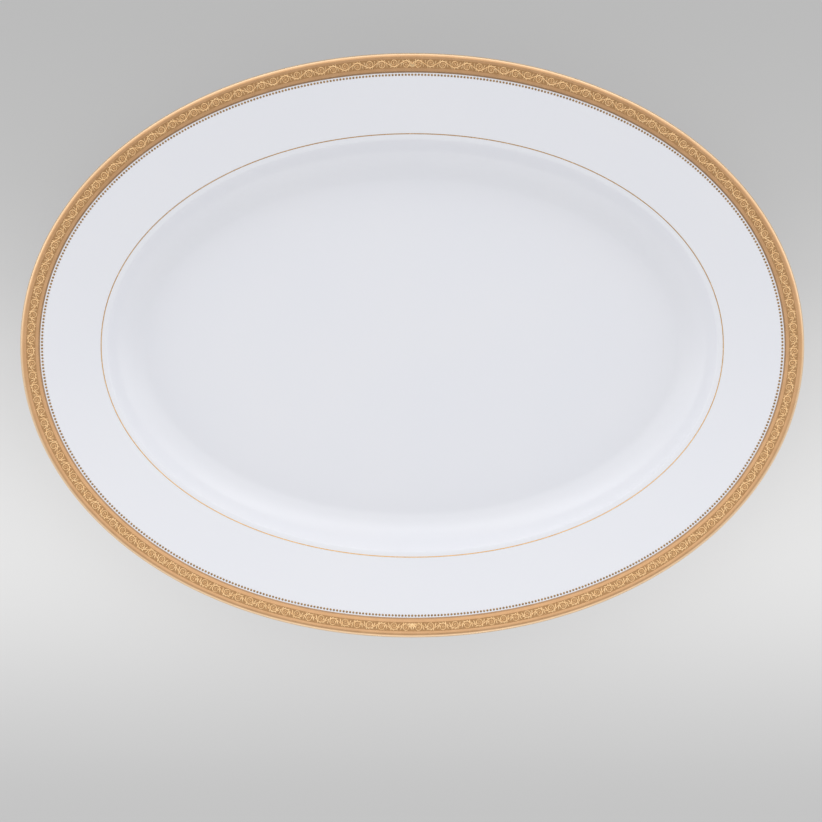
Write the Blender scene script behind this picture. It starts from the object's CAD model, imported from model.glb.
import math

import bpy
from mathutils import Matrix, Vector
from mathutils.geometry import interpolate_bezier


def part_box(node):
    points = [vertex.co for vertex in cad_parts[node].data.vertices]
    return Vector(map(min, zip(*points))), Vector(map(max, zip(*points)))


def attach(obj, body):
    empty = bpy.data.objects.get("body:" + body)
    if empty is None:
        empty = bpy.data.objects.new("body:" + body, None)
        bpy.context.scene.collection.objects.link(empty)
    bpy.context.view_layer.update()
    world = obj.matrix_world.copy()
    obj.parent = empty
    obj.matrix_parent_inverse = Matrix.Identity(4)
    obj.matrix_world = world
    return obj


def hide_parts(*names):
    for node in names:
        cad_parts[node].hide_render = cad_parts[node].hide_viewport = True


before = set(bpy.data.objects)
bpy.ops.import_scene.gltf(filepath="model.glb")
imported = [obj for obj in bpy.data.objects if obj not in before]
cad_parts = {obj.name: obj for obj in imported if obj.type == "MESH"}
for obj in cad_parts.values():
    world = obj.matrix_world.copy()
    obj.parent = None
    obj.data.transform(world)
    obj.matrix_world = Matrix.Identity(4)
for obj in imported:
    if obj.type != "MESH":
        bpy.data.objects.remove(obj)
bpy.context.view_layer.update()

MM = 0.001


# The table that the platter lies on: a plain pale sheet of studio acrylic, lit from below as well as
# from above so that it takes only a light shadow. A pool of light lies under the front of the platter.
# The sheet is clear from below, so that the foot and the underside can be looked at through it.

TABLE_REACH = 12.0  # metres from the middle to each side
TABLE_ROUGHNESS = 0.9
TABLE_CLEARANCE = 0.1 * MM  # below the foot ring, so that the two surfaces don't flicker
LIT_FROM_BELOW = 0.62  # share of the table's brightness
TABLE_GREYS = [  # distance in front of or behind the middle, in metres, and the grey there
    (-0.25, 0.555),
    (-0.215, 0.600),
    (-0.165, 0.725),
    (-0.115, 0.830),
    (-0.060, 0.790),
    (0.000, 0.700),
    (0.040, 0.610),
    (0.090, 0.540),
    (0.180, 0.500),
]
PLAIN_GREY = 0.53  # of the table to the left and right of the pool
POOL_SIDES = (0.225, 0.5)  # metres to the left and right, where the pool starts to fade and where it ends

bpy.ops.object.select_all(action="DESELECT")
bpy.ops.mesh.primitive_plane_add(size=2 * TABLE_REACH, location=(0, 0, -TABLE_CLEARANCE))
table = bpy.context.object
table.name = "table"
bpy.ops.object.transform_apply(location=True)

table_acrylic = bpy.data.materials.new("table_acrylic")
table_acrylic.use_nodes = True
nodes, links = table_acrylic.node_tree.nodes, table_acrylic.node_tree.links
acrylic = nodes["Principled BSDF"]
acrylic.inputs["Roughness"].default_value = TABLE_ROUGHNESS
acrylic.inputs["Specular IOR Level"].default_value = 0.0
place = nodes.new("ShaderNodeTexCoord")
axes = nodes.new("ShaderNodeSeparateXYZ")
links.new(place.outputs["Object"], axes.inputs["Vector"])
sweep = nodes.new("ShaderNodeMapRange")
sweep.inputs["From Min"].default_value = TABLE_GREYS[0][0]
sweep.inputs["From Max"].default_value = TABLE_GREYS[-1][0]
links.new(axes.outputs["Y"], sweep.inputs["Value"])
greys = nodes.new("ShaderNodeValToRGB")
greys.color_ramp.interpolation = "B_SPLINE"
span = TABLE_GREYS[-1][0] - TABLE_GREYS[0][0]
while len(greys.color_ramp.elements) < len(TABLE_GREYS):
    greys.color_ramp.elements.new(0.5)
for stop, (distance, grey) in zip(greys.color_ramp.elements, TABLE_GREYS):
    stop.position = (distance - TABLE_GREYS[0][0]) / span
    stop.color = (grey, grey, grey, 1)
links.new(sweep.outputs["Result"], greys.inputs["Fac"])
sideways = nodes.new("ShaderNodeMath")
sideways.operation = "ABSOLUTE"
links.new(axes.outputs["X"], sideways.inputs[0])
outside_pool = nodes.new("ShaderNodeMapRange")
outside_pool.interpolation_type = "SMOOTHSTEP"
outside_pool.inputs["From Min"].default_value, outside_pool.inputs["From Max"].default_value = POOL_SIDES
links.new(sideways.outputs["Value"], outside_pool.inputs["Value"])
pool = nodes.new("ShaderNodeMix")
pool.data_type = "RGBA"
pool.inputs["B"].default_value = (PLAIN_GREY, PLAIN_GREY, PLAIN_GREY, 1)
links.new(outside_pool.outputs["Result"], pool.inputs["Factor"])
links.new(greys.outputs["Color"], pool.inputs["A"])
reflected = nodes.new("ShaderNodeVectorMath")
reflected.operation = "SCALE"
reflected.inputs["Scale"].default_value = 1 - LIT_FROM_BELOW
links.new(pool.outputs["Result"], reflected.inputs[0])
links.new(reflected.outputs["Vector"], acrylic.inputs["Base Color"])
links.new(pool.outputs["Result"], acrylic.inputs["Emission Color"])
acrylic.inputs["Emission Strength"].default_value = LIT_FROM_BELOW
side = nodes.new("ShaderNodeNewGeometry")
clear = nodes.new("ShaderNodeBsdfTransparent")
one_way = nodes.new("ShaderNodeMixShader")
links.new(side.outputs["Backfacing"], one_way.inputs["Fac"])
links.new(acrylic.outputs["BSDF"], one_way.inputs[1])
links.new(clear.outputs["BSDF"], one_way.inputs[2])
links.new(one_way.outputs["Shader"], nodes["Material Output"].inputs["Surface"])
table.data.materials.append(table_acrylic)


# The camera looks straight down into the platter from a long way off, with the width across the
# picture. The platter lies a little above the middle of the picture.

LENS = 120.0  # millimetres
SENSOR = 36.0  # millimetres
PICTURE_WIDTH = 0.4328  # metres across the picture at the height of the rim
BELOW_CENTRE = 0.03464  # metres from the platter's middle, towards the front
LEFT_OF_CENTRE = 0.00066
AIM_BELOW_EDGE = 2.0 * MM  # the picture's width is measured this far below the top of the edge
rim_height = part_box("gold_edge_band")[1].z - AIM_BELOW_EDGE

bpy.ops.object.camera_add(
    location=(-LEFT_OF_CENTRE, -BELOW_CENTRE, rim_height + PICTURE_WIDTH * LENS / SENSOR),
    rotation=(0, 0, 0),
)
camera = bpy.context.object
camera.name = "camera"
camera.data.lens = LENS
camera.data.sensor_width = SENSOR
camera.data.clip_end = 50.0
bpy.context.scene.camera = camera
bpy.context.scene.view_settings.view_transform = "Standard"


# The biscuit body: floor, wall, verge, rim and foot ring, pressed from white porcelain and fired as one
# piece. Only the foot ring is seen, because the glaze is wiped off it so that it doesn't stick in the
# kiln. The body is pulled up oval by oval through its section, from under the middle to the floor.

OVAL_SIDES = 320
SQUARENESS = 2.035  # 2 is a true ellipse
half_length, half_width, edge_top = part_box("gold_edge_band")[1]
LIP_INSET = 2.0 * MM  # middle of the rounded edge
lip_height = edge_top - LIP_INSET
RIM_SLOPE = math.radians(9.5)
RIM_BACK_SLOPE = math.radians(11.5)
VERGE = 43.25 * MM  # where the rim turns down into the well
BACK_SHOULDER = 38.65 * MM
FOOT_OUTER = 63.95 * MM
FOOT_INNER = 66.35 * MM
FLOOR_TOP = 7.4 * MM
FLOOR_EDGE = 65.65 * MM  # where the wall has flattened out into the floor
WALL_SWEEP = 56.65 * MM  # inset of the handle that draws the wall down to the floor's level
SAME_POINT = 1e-7  # metres, within which two points are welded
SAME_HEIGHT = 1e-5


def rim_face(inset, radius):
    """A point of a surface on the rim's face, where radius is that surface's at the rounded edge."""
    height = lip_height + radius / math.cos(RIM_SLOPE) - (inset - LIP_INSET) * math.tan(RIM_SLOPE)
    return inset, height


def rim_back(inset, radius):
    height = lip_height - radius / math.cos(RIM_BACK_SLOPE)
    return inset, height - (inset - LIP_INSET) * math.tan(RIM_BACK_SLOPE)


def rounded_edge(radius, steps):
    """The edge from the back of the rim round to its face, as insets and heights."""
    start, end = RIM_BACK_SLOPE - math.pi / 2, math.pi / 2 + RIM_SLOPE
    turns = [start + (end - start) * step / steps for step in range(steps + 1)]
    return [
        (LIP_INSET - radius * math.cos(turn), lip_height + radius * math.sin(turn)) for turn in turns
    ]


def sweep_between(start, start_handle, end_handle, end, steps):
    points = [Vector((*point, 0)) for point in (start, start_handle, end_handle, end)]
    return [(point.x, point.y) for point in interpolate_bezier(*points, steps + 1)]


def well_face(radius, thickness):
    """Over the verge, down the wall and out on to the floor, for a surface that far above the biscuit."""
    verge_top = rim_face(VERGE, radius)
    turn = rim_face(VERGE + 1.7 * MM, radius)
    wall_top = (VERGE + 3 * MM - 0.6 * thickness, turn[1] - 1.55 * MM + 0.3 * thickness)
    floor_height = FLOOR_TOP + thickness
    wall_foot = (FLOOR_EDGE, floor_height)
    steep = (wall_top[0] + 4 * MM, wall_top[1] - 4.8 * MM)
    wall_sweep = (WALL_SWEEP, floor_height)
    verge = sweep_between(verge_top, turn, turn, wall_top, 8)
    return verge + sweep_between(wall_top, steep, wall_sweep, wall_foot, 22)[1:]


def well_back(radius, thickness):
    foot_top = (FOOT_OUTER - 2 * MM - 0.5 * thickness, 4 * MM - 0.8 * thickness)
    swell = (54.15 * MM, 4.7 * MM - thickness)
    shoulder = (46.45 * MM, 17.2 * MM - thickness)
    return sweep_between(foot_top, swell, shoulder, rim_back(BACK_SHOULDER, radius), 18)


def pull_ovals(name, section):
    """An open sheet, pulled on from one oval loop to the next. A section is insets and heights.

    Each point keeps its inset as an attribute, for marks that follow the rim."""
    bpy.ops.object.select_all(action="DESELECT")
    bpy.ops.mesh.primitive_circle_add(vertices=OVAL_SIDES, radius=1)
    piece = bpy.context.object
    piece.name = piece.data.name = name
    for vertex in piece.data.vertices:
        fullness = abs(vertex.co.x) ** SQUARENESS + abs(vertex.co.y) ** SQUARENESS
        vertex.co *= fullness ** (-1 / SQUARENESS)
    bpy.ops.object.mode_set(mode="EDIT")
    bpy.ops.mesh.select_all(action="SELECT")
    along, across, up = 1.0, 1.0, 0.0
    for number, (inset, height) in enumerate(section):
        if number:
            bpy.ops.mesh.extrude_region_move()
        growth = ((half_length - inset) / along, (half_width - inset) / across, 1)
        bpy.ops.transform.resize(value=growth, center_override=(0, 0, 0))
        bpy.ops.transform.translate(value=(0, 0, height - up))
        along, across, up = half_length - inset, half_width - inset, height
    bpy.ops.object.mode_set(mode="OBJECT")
    insets = piece.data.attributes.new("inset", "FLOAT", "POINT")
    insets.data.foreach_set("value", [inset for inset, height in section for side in range(OVAL_SIDES)])
    return piece


def close_middle(piece, height):
    """Carries the loop at this height in to the middle, in shrinking ovals that end in a point."""
    bpy.ops.object.mode_set(mode="EDIT")
    bpy.ops.mesh.select_mode(type="VERT")
    bpy.ops.mesh.select_all(action="DESELECT")
    bpy.ops.mesh.select_non_manifold()
    bpy.ops.object.mode_set(mode="OBJECT")
    for vertex in piece.data.vertices:
        vertex.select = vertex.select and abs(vertex.co.z - height) < SAME_HEIGHT
    for edge in piece.data.edges:
        ends = [piece.data.vertices[end] for end in edge.vertices]
        edge.select = edge.select and all(end.select for end in ends)
    bpy.ops.object.mode_set(mode="EDIT")
    for shrink in (0.97, 0.8, 0.7, 0.6, 0.4):
        bpy.ops.mesh.extrude_region_move()
        bpy.ops.transform.resize(value=(shrink, shrink, 1), center_override=(0, 0, 0))
    bpy.ops.mesh.extrude_region_move()
    bpy.ops.mesh.merge(type="CENTER")
    bpy.ops.object.mode_set(mode="OBJECT")


def face_outwards(piece):
    bpy.ops.object.mode_set(mode="EDIT")
    bpy.ops.mesh.select_all(action="SELECT")
    bpy.ops.mesh.remove_doubles(threshold=SAME_POINT)
    bpy.ops.mesh.normals_make_consistent(inside=False)
    bpy.ops.object.mode_set(mode="OBJECT")
    bpy.ops.object.shade_smooth()


BISCUIT_RADIUS = 1.35 * MM
UNDERSIDE = 3.3 * MM
foot_ring = [
    (FOOT_INNER + 2.6 * MM, UNDERSIDE),
    (FOOT_INNER + 1.9 * MM, UNDERSIDE - 0.12 * MM),
    (FOOT_INNER + 1.3 * MM, UNDERSIDE - 0.6 * MM),
    (FOOT_INNER + 0.7 * MM, 1.2 * MM),
    (FOOT_INNER + 0.35 * MM, 0.35 * MM),
    (FOOT_INNER + 0.13 * MM, 0.08 * MM),
    (FOOT_INNER - 0.1 * MM, 0),
    (FOOT_OUTER + 0.1 * MM, 0),
    (FOOT_OUTER - 0.13 * MM, 0.08 * MM),
    (FOOT_OUTER - 0.35 * MM, 0.35 * MM),
    (FOOT_OUTER - 0.7 * MM, 1.2 * MM),
]
body_section = foot_ring + well_back(BISCUIT_RADIUS, 0) + rounded_edge(BISCUIT_RADIUS, 12)
body_section += [rim_face(inset * MM, BISCUIT_RADIUS) for inset in (12, 22, 32)]
body_section += well_face(BISCUIT_RADIUS, 0)
body = pull_ovals("biscuit_body", body_section)
close_middle(body, body_section[-1][1])
close_middle(body, UNDERSIDE)
face_outwards(body)
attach(body, "root")
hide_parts("porcelain_body")


def new_material(name, color, roughness, metallic=0.0):
    """A material and its Principled shader."""
    material = bpy.data.materials.new(name)
    material.use_nodes = True
    shader = material.node_tree.nodes["Principled BSDF"]
    shader.inputs["Base Color"].default_value = (*color, 1)
    shader.inputs["Roughness"].default_value = roughness
    shader.inputs["Metallic"].default_value = metallic
    return material, shader


def new_group(name, inputs, outputs):
    """An empty shader node group with named number inputs and named outputs."""
    group = bpy.data.node_groups.new(name, "ShaderNodeTree")
    for socket, value in inputs.items():
        made = group.interface.new_socket(socket, in_out="INPUT", socket_type="NodeSocketFloat")
        made.default_value = value
    for socket, kind in outputs.items():
        group.interface.new_socket(socket, in_out="OUTPUT", socket_type=kind)
    return group, group.nodes.new("NodeGroupInput"), group.nodes.new("NodeGroupOutput")


def place_group(material, group, **values):
    node = material.node_tree.nodes.new("ShaderNodeGroup")
    node.node_tree = group
    for socket, value in values.items():
        node.inputs[socket].default_value = value
    return node


# Cloudy patches in a surface's own coordinates: tells handled or uneven places from clean ones.
clouds, clouds_in, clouds_out = new_group(
    "uneven_patches", {"Size": 20 * MM, "Low": 0.0, "High": 1.0}, {"Value": "NodeSocketFloat"}
)
where = clouds.nodes.new("ShaderNodeTexCoord")
per_size = clouds.nodes.new("ShaderNodeMath")
per_size.operation = "DIVIDE"
per_size.inputs[0].default_value = 1.0
noise = clouds.nodes.new("ShaderNodeTexNoise")
noise.inputs["Detail"].default_value = 4.0
spread = clouds.nodes.new("ShaderNodeMapRange")
spread.inputs["From Min"].default_value = 0.3
spread.inputs["From Max"].default_value = 0.7
clouds.links.new(clouds_in.outputs["Size"], per_size.inputs[1])
clouds.links.new(where.outputs["Object"], noise.inputs["Vector"])
clouds.links.new(per_size.outputs["Value"], noise.inputs["Scale"])
clouds.links.new(noise.outputs["Fac"], spread.inputs["Value"])
clouds.links.new(clouds_in.outputs["Low"], spread.inputs["To Min"])
clouds.links.new(clouds_in.outputs["High"], spread.inputs["To Max"])
clouds.links.new(spread.outputs["Result"], clouds_out.inputs["Value"])


def vary_roughness(material, shader, size, low, high):
    patches = place_group(material, clouds, Size=size, Low=low, High=high)
    material.node_tree.links.new(patches.outputs["Value"], shader.inputs["Roughness"])


def tint(material, shader, mask, color):
    """Blends the surface's colour so far towards another one where the mask says so."""
    base = shader.inputs["Base Color"]
    blend = material.node_tree.nodes.new("ShaderNodeMix")
    blend.data_type = "RGBA"
    blend.inputs["A"].default_value = base.default_value
    blend.inputs["B"].default_value = (*color, 1)
    for link in base.links:
        material.node_tree.links.new(link.from_socket, blend.inputs["A"])
    material.node_tree.links.new(mask.outputs[0], blend.inputs["Factor"])
    material.node_tree.links.new(blend.outputs["Result"], base)


def cloud_tint(material, shader, size, color):
    tint(material, shader, place_group(material, clouds, Size=size), color)


def raise_marks(material, shader, mask, depth):
    """Bumps as high as depth, in metres, on top of any that the surface has."""
    bump = material.node_tree.nodes.new("ShaderNodeBump")
    bump.inputs["Distance"].default_value = depth
    for link in shader.inputs["Normal"].links:
        material.node_tree.links.new(link.from_socket, bump.inputs["Normal"])
    material.node_tree.links.new(mask.outputs[0], bump.inputs["Height"])
    material.node_tree.links.new(bump.outputs["Normal"], shader.inputs["Normal"])


def add_grain(material, shader, size, depth):
    raise_marks(material, shader, place_group(material, clouds, Size=size), depth)


# How near a place is to the table: 1 on the flat of the foot, which is rubbed grey by use.
rubbed, rubbed_in, rubbed_out = new_group(
    "rubbed_foot", {"Depth": 0.4 * MM}, {"Value": "NodeSocketFloat"}
)
where = rubbed.nodes.new("ShaderNodeTexCoord")
axes = rubbed.nodes.new("ShaderNodeSeparateXYZ")
low_down = rubbed.nodes.new("ShaderNodeMapRange")
low_down.inputs["To Min"].default_value = 1.0
low_down.inputs["To Max"].default_value = 0.0
rubbed.links.new(where.outputs["Object"], axes.inputs["Vector"])
rubbed.links.new(axes.outputs["Z"], low_down.inputs["Value"])
rubbed.links.new(rubbed_in.outputs["Depth"], low_down.inputs["From Max"])
rubbed.links.new(low_down.outputs["Result"], rubbed_out.inputs["Value"])

biscuit, biscuit_shader = new_material("fired_biscuit", (0.72, 0.69, 0.64), 0.75)
tint(biscuit, biscuit_shader, place_group(biscuit, rubbed), (0.56, 0.53, 0.49))
cloud_tint(biscuit, biscuit_shader, 9 * MM, (0.64, 0.60, 0.55))
vary_roughness(biscuit, biscuit_shader, 3 * MM, 0.65, 0.85)
add_grain(biscuit, biscuit_shader, 0.35 * MM, 0.03 * MM)
body.data.materials.append(biscuit)


# The glaze: clear glass melted over the white body, in two areas with the bare foot ring between them.
# One runs from the outside of the foot, up the back, round the edge and over the whole face, and the
# other fills the underside within the foot ring.

GLAZE_RADIUS = 1.86 * MM
GLAZE_OVER_BISCUIT = GLAZE_RADIUS - BISCUIT_RADIUS
GLAZE_THICKNESS = 0.4 * MM


def thicken(piece, thickness, facing=1):
    """Gives an open sheet its thickness behind its visible side, which faces up if facing is 1."""
    bpy.ops.object.select_all(action="DESELECT")
    piece.select_set(True)
    bpy.context.view_layer.objects.active = piece
    highest = max(piece.data.polygons, key=lambda face: facing * face.center.z + 0.001 * face.area)
    bpy.ops.object.mode_set(mode="EDIT")
    bpy.ops.mesh.select_all(action="SELECT")
    if highest.normal.z * facing < 0:
        bpy.ops.mesh.flip_normals()
    bpy.ops.object.mode_set(mode="OBJECT")
    walls = piece.modifiers.new("thickness", "SOLIDIFY")
    walls.thickness = thickness
    walls.offset = -1
    bpy.ops.object.modifier_apply(modifier=walls.name)
    face_outwards(piece)


def rim_stretch(radius, start, end, steps):
    return [rim_face(start + (end - start) * step / steps, radius) for step in range(steps + 1)]


face_section = [(FOOT_OUTER - 0.95 * MM, 1.1 * MM)]
face_section += well_back(GLAZE_RADIUS, GLAZE_OVER_BISCUIT)
face_section += rounded_edge(GLAZE_RADIUS, 16)
face_section += rim_stretch(GLAZE_RADIUS, 6 * MM, 38 * MM, 8)
face_section += well_face(GLAZE_RADIUS, GLAZE_OVER_BISCUIT)
glaze = pull_ovals("glaze_over_face", face_section)
close_middle(glaze, face_section[-1][1])
thicken(glaze, GLAZE_THICKNESS)
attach(glaze, "root")
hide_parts("glaze_face")

under_section = [
    (FOOT_INNER + 0.95 * MM, 1.15 * MM),
    (FOOT_INNER + 1.5 * MM, UNDERSIDE - 0.95 * MM),
    (FOOT_INNER + 2.1 * MM, UNDERSIDE - 0.55 * MM),
    (FOOT_INNER + 3.2 * MM, UNDERSIDE - 0.45 * MM),
]
under_glaze = pull_ovals("glaze_inside_foot", under_section)
close_middle(under_glaze, under_section[-1][1])
thicken(under_glaze, GLAZE_THICKNESS, facing=-1)
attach(under_glaze, "root")
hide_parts("glaze_underside")

clear_glaze, glaze_shader = new_material("clear_glaze", (0.800, 0.808, 0.852), 0.08)
glaze_shader.inputs["IOR"].default_value = 1.5
cloud_tint(clear_glaze, glaze_shader, 60 * MM, (0.788, 0.800, 0.850))
vary_roughness(clear_glaze, glaze_shader, 25 * MM, 0.05, 0.11)
add_grain(clear_glaze, glaze_shader, 14 * MM, 0.02 * MM)
glaze.data.materials.append(clear_glaze)
under_glaze.data.materials.append(clear_glaze)


# The gold: liquid gold brushed on over the glaze while the platter turns on a banding wheel, fired, and
# burnished. The rounded edge and the strip beside the border are plain and polished.

GOLD_RADIUS = LIP_INSET  # so that the gilded edge is the outside of the platter
COAT_GAP = 0.02 * MM  # left under each coat of gold, so that the two surfaces don't flicker
GOLD_THICKNESS = GOLD_RADIUS - GLAZE_RADIUS - COAT_GAP
EDGE_GOLD_ON_BACK = 3.85 * MM
EDGE_GOLD_ON_FACE = 3.32 * MM
INNER_BAND = (8.1 * MM, 9.62 * MM)
EDGE_ROUNDING = 0.03 * MM
STRIPE_ROUNDING = 0.02 * MM


def soften_edges(piece, width):
    rounding = piece.modifiers.new("rounding", "BEVEL")
    rounding.width = width
    rounding.segments = 2
    rounding.limit_method = "ANGLE"
    rounding.angle_limit = math.radians(50)
    rounding.harden_normals = True  # the flats stay flat to the light right up to their corners
    bpy.ops.object.modifier_apply(modifier=rounding.name)


def gild_stripe(name, stripe, radius=GOLD_RADIUS):
    """A flat ring of gold on the rim's face, between two insets."""
    outer, inner = stripe
    piece = pull_ovals(name, rim_stretch(radius, outer, inner, 2))
    thicken(piece, radius - GLAZE_RADIUS - COAT_GAP)
    soften_edges(piece, STRIPE_ROUNDING)
    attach(piece, "root")
    return piece


edge_section = [rim_back(EDGE_GOLD_ON_BACK, GOLD_RADIUS)]
edge_section += rounded_edge(GOLD_RADIUS, 18)
edge_section += [rim_face(EDGE_GOLD_ON_FACE, GOLD_RADIUS)]
gold_edge = pull_ovals("gilded_edge", edge_section)
thicken(gold_edge, GOLD_THICKNESS)
soften_edges(gold_edge, EDGE_ROUNDING)
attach(gold_edge, "root")
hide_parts("gold_edge_band")

inner_band = gild_stripe("gilded_inner_strip", INNER_BAND)
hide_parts("gold_inner_band")

# Fine streaks that the banding brush leaves as the platter turns under it, broken where it was lifted.
streaks, streaks_in, streaks_out = new_group(
    "brush_streaks", {"Spacing": 0.2 * MM}, {"Value": "NodeSocketFloat"}
)
inset_here = streaks.nodes.new("ShaderNodeAttribute")
inset_here.attribute_name = "inset"
across = streaks.nodes.new("ShaderNodeMath")
across.operation = "DIVIDE"
lines = streaks.nodes.new("ShaderNodeTexNoise")
lines.noise_dimensions = "1D"
lines.inputs["Scale"].default_value = 1.0
lines.inputs["Detail"].default_value = 2.0
breaks = streaks.nodes.new("ShaderNodeGroup")
breaks.node_tree = clouds
breaks.inputs["Size"].default_value = 9 * MM
faded = streaks.nodes.new("ShaderNodeMath")
faded.operation = "MULTIPLY"
streaks.links.new(inset_here.outputs["Fac"], across.inputs[0])
streaks.links.new(streaks_in.outputs["Spacing"], across.inputs[1])
streaks.links.new(across.outputs["Value"], lines.inputs["W"])
streaks.links.new(lines.outputs["Fac"], faded.inputs[0])
streaks.links.new(breaks.outputs["Value"], faded.inputs[1])
streaks.links.new(faded.outputs["Value"], streaks_out.inputs["Value"])


def brush_on(material, shader, spacing, depth, color):
    """Streaks in the gold: thinner between them, where it takes the other colour."""
    brush_marks = place_group(material, streaks, Spacing=spacing)
    tint(material, shader, brush_marks, color)
    raise_marks(material, shader, brush_marks, depth)


# 1 at the outermost edge, where handling has rubbed the gold pale, and 0 from the inset Reach inwards.
rubbing, rubbing_in, rubbing_out = new_group(
    "rubbed_edge", {"Reach": 1.5 * MM}, {"Value": "NodeSocketFloat"}
)
inset_here = rubbing.nodes.new("ShaderNodeAttribute")
inset_here.attribute_name = "inset"
outermost = rubbing.nodes.new("ShaderNodeMapRange")
outermost.interpolation_type = "SMOOTHSTEP"
outermost.inputs["To Min"].default_value = 1.0
outermost.inputs["To Max"].default_value = 0.0
rubbing.links.new(inset_here.outputs["Fac"], outermost.inputs["Value"])
rubbing.links.new(rubbing_in.outputs["Reach"], outermost.inputs["From Max"])
rubbing.links.new(outermost.outputs["Result"], rubbing_out.inputs["Value"])


def burnish(material, shader):
    """Gold polished with agate: soft patches, and the brush's streaks still faintly there."""
    cloud_tint(material, shader, 7 * MM, (0.73, 0.43, 0.22))
    vary_roughness(material, shader, 2.5 * MM, 0.26, 0.38)
    add_grain(material, shader, 0.5 * MM, 0.004 * MM)
    brush_on(material, shader, 0.16 * MM, 0.006 * MM, (0.66, 0.38, 0.19))


edge_gold, edge_gold_shader = new_material("burnished_edge_gold", (0.79, 0.475, 0.25), 0.25, 1.0)
burnish(edge_gold, edge_gold_shader)
rubbed_pale = place_group(edge_gold, rubbing, Reach=1.9 * MM)
tint(edge_gold, edge_gold_shader, rubbed_pale, (0.96, 0.74, 0.50))
gold_edge.data.materials.append(edge_gold)

burnished, burnished_shader = new_material("burnished_gold", (0.79, 0.475, 0.25), 0.25, 1.0)
burnish(burnished, burnished_shader)
inner_band.data.materials.append(burnished)


# The etched border. Acid bites away the glaze round a running scroll before the gold goes on, so the
# ground comes out stippled and matte, and the scroll stands up and takes the polish. The ground's two
# edges lie under the plain gold on either side.

GROUND_RADIUS = 1.93 * MM
BORDER = (3.2 * MM, 8.3 * MM)
border_middle = (EDGE_GOLD_ON_FACE + INNER_BAND[0]) / 2

ground = gild_stripe("etched_ground", BORDER, GROUND_RADIUS)
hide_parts("etched_gold_band")

oval_path = pull_ovals("border_path", [rim_face(border_middle, GROUND_RADIUS)])
bpy.ops.object.convert(target="CURVE")
oval_path = bpy.context.object
oval_path.data.twist_mode = "Z_UP"
around = oval_path.data.splines[0].calc_length()

SCROLLS_PER_HALF = 43
STEM_SWING = 1.45 * MM
STEM_STEPS = 10  # in each half wave
STEM_OVERLAP = 0.03 * MM  # each half wave runs this far into the next one
STROKE = 0.28 * MM  # half the width of the drawn lines
CURL_EYE = (3.35 * MM, -0.45 * MM)
CURL_START = math.radians(128)
CURL_RADIUS = 2.0 * MM
CURL_STEPS = 26
CURL_TURN = math.radians(21)
CURL_SHRINK = 0.957
RELIEF = 0.85  # the strokes' height as a share of their width
scroll_length = around / 2 / SCROLLS_PER_HALF


def turn_selected(angle, center):
    """Turns what is selected anticlockwise, seen from above."""
    bpy.ops.transform.rotate(value=-angle, orient_axis="Z", center_override=center)


def stroke_end(width, location):
    """The six-sided end of a stroke, filled, in edit mode and standing across the local Y axis."""
    bpy.ops.object.select_all(action="DESELECT")
    bpy.ops.mesh.primitive_circle_add(
        vertices=6, radius=width, fill_type="NGON", location=location, rotation=(math.pi / 2, 0, 0)
    )
    bpy.ops.object.mode_set(mode="EDIT")
    bpy.ops.mesh.select_all(action="SELECT")
    return bpy.context.object


def curl():
    eye = (*CURL_EYE, 0)
    piece = stroke_end(STROKE, (CURL_EYE[0] + CURL_RADIUS, CURL_EYE[1], 0))
    turn_selected(CURL_START, eye)
    for step in range(CURL_STEPS):
        bpy.ops.mesh.extrude_region_move()
        turn_selected(CURL_TURN, eye)
        bpy.ops.transform.resize(value=(CURL_SHRINK,) * 3, center_override=eye)
    bpy.ops.object.mode_set(mode="OBJECT")
    return piece


def stem():
    """Half a wave, from the middle line out to its crest and back, and a little over at both ends."""
    stride = (scroll_length / 2 + 2 * STEM_OVERLAP) / STEM_STEPS
    start = (-STEM_OVERLAP, 0, 0)
    piece = stroke_end(STROKE, start)
    turn_selected(math.radians(90), start)
    reached = 0.0
    for step in range(1, STEM_STEPS + 1):
        rise = STEM_SWING * math.sin(math.pi * step / STEM_STEPS)
        bpy.ops.mesh.extrude_region_move()
        bpy.ops.transform.translate(value=(stride, rise - reached, 0))
        reached = rise
    bpy.ops.object.mode_set(mode="OBJECT")
    return piece


def leaf(x, y, length, width, angle):
    """A pointed leaf that lies on the ground, its stalk at x, y. It is a third as thick as it is wide."""
    bpy.ops.object.select_all(action="DESELECT")
    bpy.ops.mesh.primitive_uv_sphere_add(
        segments=6, ring_count=5, radius=0.5, rotation=(0, math.pi / 2, 0)
    )
    bpy.ops.object.transform_apply(rotation=True)
    piece = bpy.context.object
    for vertex in piece.data.vertices:
        vertex.select = vertex.co.x > 0.1
    bpy.ops.object.mode_set(mode="EDIT")
    bpy.ops.transform.resize(value=(1.3, 0.75, 0.75), center_override=(0.1, 0, 0))
    bpy.ops.mesh.select_all(action="SELECT")
    bpy.ops.transform.resize(value=(length, width, width / 3), center_override=(-0.5, 0, 0))
    bpy.ops.transform.translate(value=(x + 0.5, y, 0))
    turn_selected(angle, (x, y, 0))
    bpy.ops.object.mode_set(mode="OBJECT")
    return piece


def berry(x, y, radius, sides=8):
    bpy.ops.object.select_all(action="DESELECT")
    bpy.ops.mesh.primitive_uv_sphere_add(segments=sides, ring_count=4, radius=radius, location=(x, y, 0))
    bpy.ops.object.transform_apply(location=True)
    return bpy.context.object


def join(pieces, name):
    bpy.ops.object.select_all(action="DESELECT")
    for piece in pieces:
        piece.select_set(True)
    bpy.context.view_layer.objects.active = pieces[0]
    bpy.ops.object.transform_apply(location=True, rotation=True, scale=True)
    bpy.ops.object.join()
    pieces[0].name = pieces[0].data.name = name
    return pieces[0]


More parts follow.
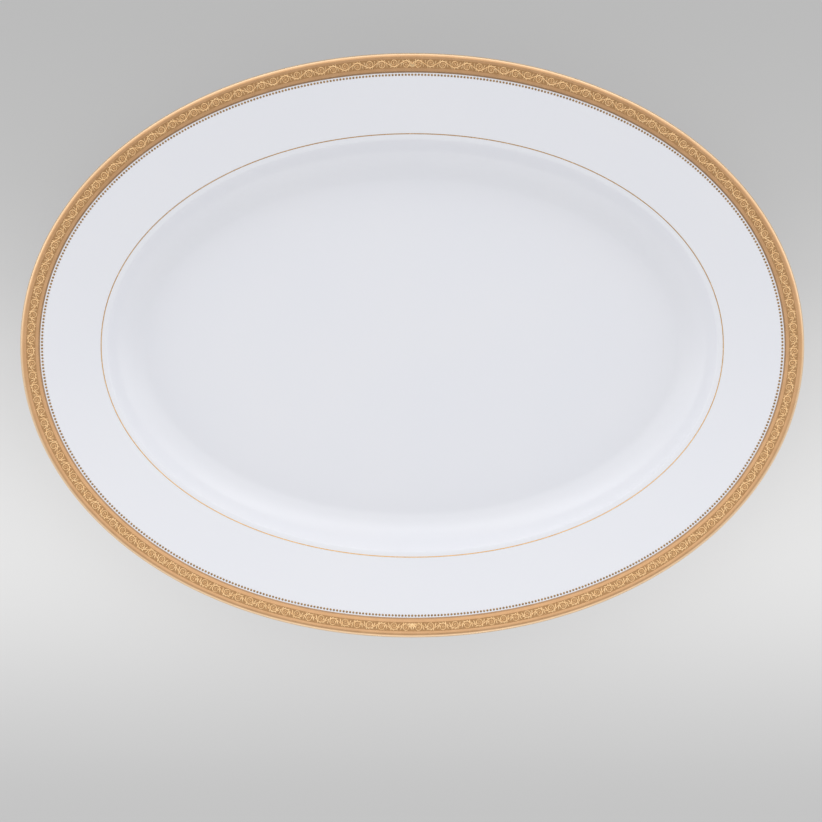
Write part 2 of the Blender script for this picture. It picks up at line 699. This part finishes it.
half_scroll = [
    stem(),
    curl(),
    berry(*CURL_EYE, 0.36 * MM),
    leaf(5.0 * MM, 0.75 * MM, 1.9 * MM, 0.9 * MM, math.radians(-105)),
    leaf(5.35 * MM, 0.5 * MM, 2.1 * MM, 0.9 * MM, math.radians(-70)),
    leaf(1.5 * MM, 0.95 * MM, 1.3 * MM, 0.85 * MM, math.radians(75)),
    leaf(2.4 * MM, 1.45 * MM, 1.1 * MM, 0.8 * MM, math.radians(35)),
    leaf(4.2 * MM, 1.4 * MM, 1.2 * MM, 0.8 * MM, math.radians(20)),
    leaf(0.9 * MM, 0.5 * MM, 2.3 * MM, 0.85 * MM, math.radians(-103)),
]
scroll = join(half_scroll, "running_scroll")
scroll_other = scroll.copy()
scroll_other.data = scroll.data.copy()
bpy.context.collection.objects.link(scroll_other)
bpy.ops.object.select_all(action="DESELECT")
scroll_other.select_set(True)
bpy.context.view_layer.objects.active = scroll_other
bpy.ops.object.mode_set(mode="EDIT")
bpy.ops.mesh.select_all(action="SELECT")
bpy.ops.transform.resize(value=(1, -1, 1), center_override=(0, 0, 0))
bpy.ops.transform.translate(value=(scroll_length / 2, 0, 0))
bpy.ops.object.mode_set(mode="OBJECT")
scroll = join([scroll, scroll_other], "running_scroll")


def lay_along(piece, path, tilt, flatten):
    """Flattens the piece on to the ground, tilts it to the rim's slope, and bends it round the path."""
    bpy.ops.object.select_all(action="DESELECT")
    piece.select_set(True)
    bpy.context.view_layer.objects.active = piece
    bpy.ops.object.mode_set(mode="EDIT")
    bpy.ops.mesh.select_all(action="SELECT")
    bpy.ops.transform.resize(value=(1, 1, flatten), center_override=(0, 0, 0))
    bpy.ops.transform.rotate(value=-tilt, orient_axis="X", center_override=(0, 0, 0))
    bpy.ops.object.mode_set(mode="OBJECT")
    bend = piece.modifiers.new("round_the_oval", "CURVE")
    bend.object = path
    bend.deform_axis = "POS_X"
    bpy.ops.object.modifier_apply(modifier=bend.name)


def repeat(piece, count, step):
    row = piece.modifiers.new("row", "ARRAY")
    row.count = count
    row.use_relative_offset = False
    row.use_constant_offset = True
    row.constant_offset_displace = (step, 0, 0)
    bpy.ops.object.modifier_apply(modifier=row.name)


repeat(scroll, SCROLLS_PER_HALF, scroll_length)
palmette = [scroll]
for turn in (80, 52, 24):
    palmette.append(leaf(0.12 * MM, -1.7 * MM, 2.7 * MM, 0.9 * MM, math.radians(turn)))
    palmette.append(leaf(around / 2 - 0.12 * MM, -1.7 * MM, 2.7 * MM, 0.9 * MM, math.radians(180 - turn)))
scroll = join(palmette, "running_scroll")
lay_along(scroll, oval_path, RIM_SLOPE, RELIEF)
other_half = scroll.modifiers.new("other_half", "MIRROR")
other_half.use_mirror_merge = False
bpy.ops.object.modifier_apply(modifier=other_half.name)
face_outwards(scroll)
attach(scroll, "root")

stippled, stippled_shader = new_material("etched_gold_ground", (0.60, 0.345, 0.165), 0.4, 1.0)
cloud_tint(stippled, stippled_shader, 0.4 * MM, (0.38, 0.21, 0.09))
vary_roughness(stippled, stippled_shader, 0.8 * MM, 0.26, 0.42)
add_grain(stippled, stippled_shader, 0.22 * MM, 0.06 * MM)
ground.data.materials.append(stippled)

raised, raised_shader = new_material("raised_scroll_gold", (0.97, 0.68, 0.38), 0.22, 1.0)
cloud_tint(raised, raised_shader, 5 * MM, (0.90, 0.60, 0.31))
vary_roughness(raised, raised_shader, 1.5 * MM, 0.18, 0.30)
scroll.data.materials.append(raised)


# The fine lines and the dots: narrow gold lines laid down with a banding brush, and a row of small
# separate dots of thick gold set one by one just inside the border.

FINE_LINE = (9.5 * MM, 10.45 * MM)  # it starts under the plain strip
VERGE_LINE = (41.8 * MM, 42.3 * MM)
LINE_RADIUS = 1.93 * MM
DOTS = 620
DOT_INSET = 11.5 * MM
DOT_SIZE = 0.6 * MM  # from a dot's middle to its side
DOT_RELIEF = 0.36  # its height as a share of that

fine_line = gild_stripe("fine_border_line", FINE_LINE, LINE_RADIUS)
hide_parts("gold_fine_line")
verge_line = gild_stripe("verge_hairline", VERGE_LINE, LINE_RADIUS)
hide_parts("gold_verge_line")

dot_path = pull_ovals("dot_path", [rim_face(DOT_INSET, GLAZE_RADIUS)])
bpy.ops.object.convert(target="CURVE")
dot_path = bpy.context.object
dot_path.data.twist_mode = "Z_UP"
dots = berry(0, 0, DOT_SIZE, sides=12)
dots.name = dots.data.name = "gold_dots"
repeat(dots, DOTS, dot_path.data.splines[0].calc_length() / DOTS)
lay_along(dots, dot_path, RIM_SLOPE, DOT_RELIEF)
face_outwards(dots)
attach(dots, "root")
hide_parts("gold_dot_row")

banding, banding_shader = new_material("banding_gold", (0.54, 0.335, 0.19), 0.2, 1.0)
cloud_tint(banding, banding_shader, 4 * MM, (0.46, 0.28, 0.16))
vary_roughness(banding, banding_shader, 3 * MM, 0.15, 0.3)
brush_on(banding, banding_shader, 0.12 * MM, 0.004 * MM, (0.42, 0.25, 0.14))
fine_line.data.materials.append(banding)

hairline, hairline_shader = new_material("hairline_gold", (0.80, 0.53, 0.27), 0.22, 1.0)
cloud_tint(hairline, hairline_shader, 4 * MM, (0.70, 0.44, 0.21))
vary_roughness(hairline, hairline_shader, 3 * MM, 0.15, 0.3)
verge_line.data.materials.append(hairline)

beads, beads_shader = new_material("dot_gold", (0.45, 0.275, 0.125), 0.25, 1.0)
cloud_tint(beads, beads_shader, 4 * MM, (0.34, 0.205, 0.09))
vary_roughness(beads, beads_shader, 3 * MM, 0.15, 0.35)
dots.data.materials.append(beads)

for path in (oval_path, dot_path):
    bpy.data.objects.remove(path)


# The mark under the middle: a small printed device that is fired on over the glaze, here two plain
# rings and a wreath with no words.

MARK_RINGS = ((13.6 * MM, 14.0 * MM), (11.0 * MM, 11.2 * MM))
MARK_LEAVES = 16
MARK_LEAF_RADIUS = 12.4 * MM
MARK_THICKNESS = 0.04 * MM
MARK_LEAF_FLATNESS = 0.05
mark_height = under_section[-1][1]


def flat_ring(inner, outer):
    bpy.ops.object.select_all(action="DESELECT")
    bpy.ops.mesh.primitive_circle_add(
        vertices=96, radius=inner, location=(0, 0, mark_height - MARK_THICKNESS / 2)
    )
    bpy.ops.object.mode_set(mode="EDIT")
    bpy.ops.mesh.select_all(action="SELECT")
    bpy.ops.mesh.extrude_region_move()
    bpy.ops.transform.resize(value=(outer / inner, outer / inner, 1), center_override=(0, 0, 0))
    bpy.ops.object.mode_set(mode="OBJECT")
    bpy.ops.object.transform_apply(location=True)
    ring = bpy.context.object
    thicken(ring, MARK_THICKNESS, facing=-1)
    return ring


mark_parts = [flat_ring(*ring) for ring in MARK_RINGS]
for number in range(MARK_LEAVES):
    turn = 2 * math.pi * number / MARK_LEAVES
    x, y = MARK_LEAF_RADIUS * math.cos(turn), MARK_LEAF_RADIUS * math.sin(turn)
    part = leaf(x, y, 3.4 * MM, 1.1 * MM, turn + math.radians(100))
    bpy.ops.object.mode_set(mode="EDIT")
    bpy.ops.mesh.select_all(action="SELECT")
    bpy.ops.transform.resize(value=(1, 1, MARK_LEAF_FLATNESS), center_override=(0, 0, 0))
    bpy.ops.transform.translate(value=(0, 0, mark_height - MARK_THICKNESS / 4))
    bpy.ops.object.mode_set(mode="OBJECT")
    mark_parts.append(part)
mark = join(mark_parts, "printed_mark")
face_outwards(mark)
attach(mark, "root")
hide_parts("underside_mark")

print_color, print_shader = new_material("fired_print", (0.42, 0.28, 0.11), 0.45, 0.2)
cloud_tint(print_color, print_shader, 2 * MM, (0.30, 0.19, 0.07))
mark.data.materials.append(print_color)


# The studio light: an even glow from all round, as in a white tent whose sides are brighter than its top.
# Long soft lamps hang over the front and the back of the table, and a lit screen stands behind the
# platter and brightens the rounded edge there.

TOP_GLOW = 0.535
SIDE_GLOW = 1.04
SCREEN_GLOW = 0.935  # added to the tent's glow where the screen is at its brightest
SCREEN_SHARES = [  # from -1 in front through 0 overhead to 1 behind, and the share of that glow there
    (-1.0, 0.455),  # front lamp
    (-0.7, 0.127),
    (-0.4, 0.0),
    (-0.15, 0.0),
    (0.35, 0.69),  # back lamp
    (0.6, 0.364),
    (0.75, 0.455),
    (0.92, 1.0),  # screen
    (1.0, 0.0),
]

world = bpy.data.worlds.new("studio")
world.use_nodes = True
nodes, links = world.node_tree.nodes, world.node_tree.links
direction = nodes.new("ShaderNodeTexCoord")
axes = nodes.new("ShaderNodeSeparateXYZ")
links.new(direction.outputs["Generated"], axes.inputs["Vector"])
tent = nodes.new("ShaderNodeMapRange")
tent.inputs["To Min"].default_value = SIDE_GLOW
tent.inputs["To Max"].default_value = TOP_GLOW
links.new(axes.outputs["Z"], tent.inputs["Value"])
screen = nodes.new("ShaderNodeValToRGB")
screen.color_ramp.interpolation = "EASE"
while len(screen.color_ramp.elements) < len(SCREEN_SHARES):
    screen.color_ramp.elements.new(0.5)
for stop, (towards_back, share) in zip(screen.color_ramp.elements, SCREEN_SHARES):
    stop.position = (towards_back + 1) / 2
    stop.color = (share, share, share, 1)
from_front = nodes.new("ShaderNodeMapRange")
from_front.inputs["From Min"].default_value = -1.0
links.new(axes.outputs["Y"], from_front.inputs["Value"])
links.new(from_front.outputs["Result"], screen.inputs["Fac"])
both = nodes.new("ShaderNodeMath")
both.operation = "MULTIPLY_ADD"
both.inputs[1].default_value = SCREEN_GLOW
links.new(screen.outputs["Color"], both.inputs[0])
links.new(tent.outputs["Result"], both.inputs[2])
links.new(both.outputs["Value"], nodes["Background"].inputs["Strength"])
nodes["Background"].inputs["Color"].default_value = (1, 1, 1, 1)
bpy.context.scene.world = world
